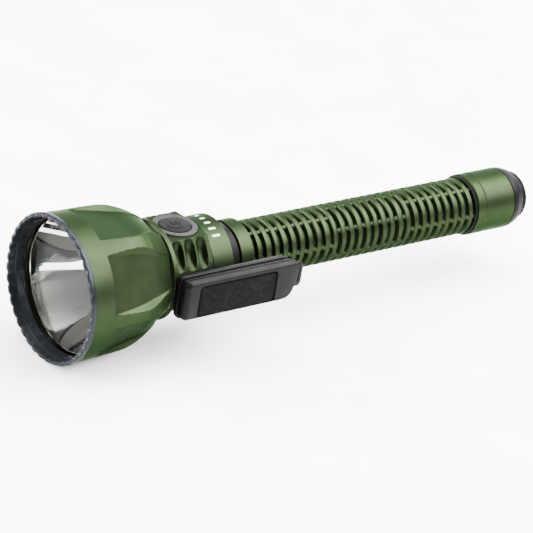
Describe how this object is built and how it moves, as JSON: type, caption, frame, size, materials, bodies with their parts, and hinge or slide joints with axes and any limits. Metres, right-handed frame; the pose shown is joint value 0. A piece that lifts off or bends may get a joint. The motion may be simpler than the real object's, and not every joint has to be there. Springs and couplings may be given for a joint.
{
  "type": "tactical flashlight",
  "caption": "Long-throw hand light with a wide faceted head, deep reflector, ribbed grip, side switch, tail switch and a side pressure-pad module.",
  "frame": {"origin": "centre of the tail's contact face", "axes": "+X along the light from the bezel to the tail, so the beam leaves towards -X; +Z out of the main switch; -Y out of the side module"},
  "size_m": [0.339, 0.085, 0.085],
  "materials": {
    "anodised_green": "satin anodised",
    "black_metal": "gloss black",
    "lens_glass": "clear coated",
    "mirror": "polished",
    "black_rubber": "matt",
    "black_polymer": "fine texture",
    "steel": "bright",
    "brass": "gold plated",
    "circuit": "solder mask",
    "phosphor": "phosphor",
    "white_plastic": "plain",
    "copper": "bare copper",
    "cell_wrap": "shrink wrap"
  },
  "bodies": {
    "head": {"bezel_ring": "black_metal", "lens_oring": "black_rubber", "lens_glass": "lens_glass", "reflector": "mirror", "led_gasket": "white_plastic", "led_emitter": "phosphor", "led_board": "copper", "head_shell": "anodised_green", "neck_housing": "anodised_green", "driver_board": "circuit", "driver_coil": "black_metal", "driver_contact": "brass", "driver_retainer": "steel", "switch_ring": "black_metal", "switch_board": "circuit", "switch_dome": "steel", "neck_collar": "black_metal", "module_saddle": "black_polymer"},
    "side_button": {"switch_button": "black_rubber"},
    "module": {"module_base": "black_polymer", "module_frame": "black_polymer", "module_board": "circuit", "coin_cell": "steel", "module_magnet_front": "steel", "module_magnet_rear": "steel"},
    "pad": {"pressure_pad": "black_rubber"},
    "battery": {"battery_sleeve": "cell_wrap", "battery_front_cap": "brass", "battery_rear_cap": "brass", "battery_cell_front": "steel", "battery_cell_rear": "steel"},
    "tube": {"grip_tube": "anodised_green", "front_oring": "black_rubber", "rear_oring": "black_rubber", "tail_seal": "black_rubber"},
    "spring": {"tail_spring": "steel"},
    "cap": {"tail_cap": "anodised_green", "tail_board": "circuit", "tail_dome": "steel", "tail_ring": "black_metal"},
    "tail_switch": {"tail_button": "black_rubber", "tail_plunger": "white_plastic", "charge_ring": "steel", "charge_insulator": "white_plastic", "charge_contact": "brass"}
  },
  "joints": [
    {"name": "side_button_press", "type": "slide", "parent": "head", "child": "side_button", "axis": [0, 0, -1], "range_m": [0, 0.0007], "stiffness_N_per_m": 3000},
    {"name": "module_pull_off", "type": "slide", "parent": "head", "child": "module", "axis": [0, -1, 0], "range_m": [0, 0.03]},
    {"name": "pad_press", "type": "slide", "parent": "module", "child": "pad", "axis": [0, 1, 0], "range_m": [0, 0.001], "stiffness_N_per_m": 3000},
    {"name": "tube_advance", "type": "slide", "parent": "head", "child": "battery", "axis": [1, 0, 0], "range_m": [0, 0.0075]},
    {"name": "tube_unscrew", "type": "hinge", "parent": "battery", "child": "tube", "pos_m": [-0.2, 0, 0], "axis": [1, 0, 0], "range_deg": [0, 1800]},
    {"name": "cap_advance", "type": "slide", "parent": "tube", "child": "spring", "axis": [1, 0, 0], "range_m": [0, 0.006]},
    {"name": "cap_unscrew", "type": "hinge", "parent": "spring", "child": "cap", "pos_m": [-0.03, 0, 0], "axis": [1, 0, 0], "range_deg": [0, 1440]},
    {"name": "tail_press", "type": "slide", "parent": "cap", "child": "tail_switch", "axis": [-1, 0, 0], "range_m": [0, 0.0015], "stiffness_N_per_m": 3000}
  ],
  "couplings": [
    {"joint": "tube_advance", "follows": "tube_unscrew", "m_per_rad": 0.00023873},
    {"joint": "cap_advance", "follows": "cap_unscrew", "m_per_rad": 0.00023873}
  ]
}
